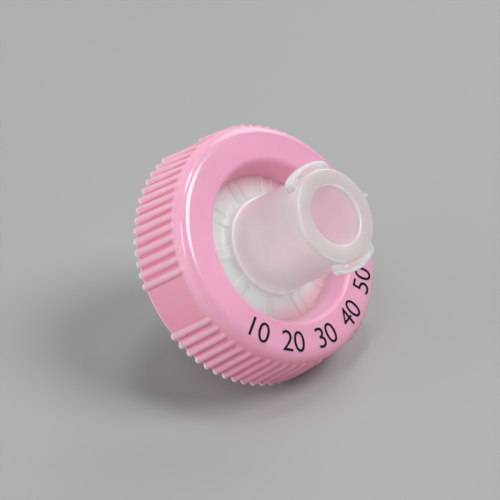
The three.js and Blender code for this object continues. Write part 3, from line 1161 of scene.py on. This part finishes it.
class FILTER_OT_print(Operator):
    """Print plain numerals on an arc of the ring's face"""
    bl_idname = "filter.print"
    bl_label = "Printed Numerals"

    def execute(self, context):
        text = context.scene.filter_print
        made = []
        for i, character in enumerate(text.numbers):
            if character == " ":
                continue
            turn = text.start + i * text.step
            glyph = numeral(character, text)
            glyph.matrix_world = (
                Matrix.Rotation(turn + pi / 2, 4, "Z")
                @ Matrix.Translation((0, -text.top_radius - text.height, text.lift))
            )
            made.append(glyph)
        select_only(*made)
        bpy.ops.object.join()
        piece = bpy.context.active_object
        piece.name = "printed_numerals"
        bpy.ops.object.transform_apply(location=True, rotation=True, scale=True)
        material = printing_ink(context.scene.filter_finishes)
        finish_piece(piece, None, material, SMOOTH_ANGLE)
        return {"FINISHED"}


# ---- Stage ----

CAMERA_PLACE = (-0.066280, -0.054966, 0.061770)
CAMERA_TARGET = (-0.001798, -0.000881, 0.009585)

# Each lamp's azimuth and elevation, and how wide and high it looks, all in degrees, and its strength
LAMPS = {
    "key": (300, 53, 28, 28, 0.54),
    "right": (10, 38, 34, 34, 0.19),
    "left": (198, 55, 5, 24, 0.13),
    "left_fill": (156, 24, 40, 24, 0.05),
    "low_left": (146, 15, 44, 18, 0.23),
    "low_side": (180, 15, 40, 18, 0.19),
    "low_back": (80, 14, 50, 20, 0.11),
    "low_right_back": (28, 15, 56, 22, 0.08),
    "top": (10, 84, 14, 14, 0.15),
}


def softbox(name, azimuth, elevation, width, height, strength, distance):
    """An oval lamp aimed at the floor under the filter; a strength of 1 makes a card facing it white."""
    turn = radians(azimuth)
    rise = radians(elevation)
    away = Vector((cos(rise) * cos(turn), cos(rise) * sin(turn), sin(rise)))
    bpy.ops.object.light_add(type="AREA", location=away * distance)
    lamp = bpy.context.active_object
    lamp.name = name
    lamp.data.shape = "ELLIPSE"
    lamp.data.size = 2 * distance * tan(radians(width) / 2)
    lamp.data.size_y = 2 * distance * tan(radians(height) / 2)
    lamp.data.energy = (pi * distance) ** 2 * strength
    lamp.rotation_euler = away.to_track_quat("Z", "Y").to_euler()


class FILTER_OT_stage(Operator):
    """Lay the floor and set up the light and the camera"""
    bl_idname = "filter.stage"
    bl_label = "Stage"

    def execute(self, context):
        scene = context.scene
        stage = scene.filter_stage
        bpy.ops.object.select_all(action="DESELECT")
        bpy.ops.mesh.primitive_plane_add(size=stage.floor_size, location=(0, 0, 0))
        floor = bpy.context.active_object
        floor.name = "floor"
        floor.data.materials.append(floor_paint(scene.filter_finishes))
        for name, lamp in LAMPS.items():
            softbox(name, *lamp, stage.lamp_distance)
        world = bpy.data.worlds.new("studio")
        world.use_nodes = True
        light = {"Color": (1, 1, 1), "Strength": stage.world_strength}
        feed(world.node_tree.nodes["Background"], light)
        scene.world = world
        bpy.ops.object.camera_add(location=CAMERA_PLACE)
        camera = bpy.context.active_object
        camera.name = "camera"
        camera.data.lens = stage.camera_lens
        camera.data.clip_start = 1 * MM
        sight = Vector(CAMERA_TARGET) - camera.location
        camera.rotation_euler = sight.to_track_quat("-Z", "Y").to_euler()
        scene.camera = camera
        scene.view_settings.view_transform = "Standard"
        return {"FINISHED"}


class FILTER_PT_sidebar(Panel):
    """Buttons that model the filter piece by piece"""
    bl_idname = "FILTER_PT_sidebar"
    bl_label = "Syringe Filter"
    bl_space_type = "VIEW_3D"
    bl_region_type = "UI"
    bl_category = "Filter"

    def draw(self, context):
        for operator in OPERATORS:
            self.layout.operator(operator.bl_idname)


GROUPS = {
    "filter_ring": RingSizes,
    "filter_ribs": RibSizes,
    "filter_inlet": InletSizes,
    "filter_lugs": LugSizes,
    "filter_gate": GateSizes,
    "filter_outlet": OutletSizes,
    "filter_chamber_ribs": ChamberRibSizes,
    "filter_print": PrintSizes,
    "filter_finishes": Finishes,
    "filter_stage": StageSizes,
}
OPERATORS = (
    FILTER_OT_grip_ring,
    FILTER_OT_inlet_housing,
    FILTER_OT_outlet_housing,
    FILTER_OT_membrane,
    FILTER_OT_print,
    FILTER_OT_stage,
)


def register():
    for name, group in GROUPS.items():
        bpy.utils.register_class(group)
        setattr(bpy.types.Scene, name, PointerProperty(type=group))
    for operator in OPERATORS:
        bpy.utils.register_class(operator)
    bpy.utils.register_class(FILTER_PT_sidebar)


def unregister():
    bpy.utils.unregister_class(FILTER_PT_sidebar)
    for operator in reversed(OPERATORS):
        bpy.utils.unregister_class(operator)
    for name, group in reversed(GROUPS.items()):
        delattr(bpy.types.Scene, name)
        bpy.utils.unregister_class(group)


def main():
    register()
    bpy.ops.filter.grip_ring()
    bpy.ops.filter.inlet_housing()
    bpy.ops.filter.outlet_housing()
    bpy.ops.filter.membrane()
    bpy.ops.filter.print()
    bpy.ops.filter.stage()


if __name__ == "__main__":
    main()
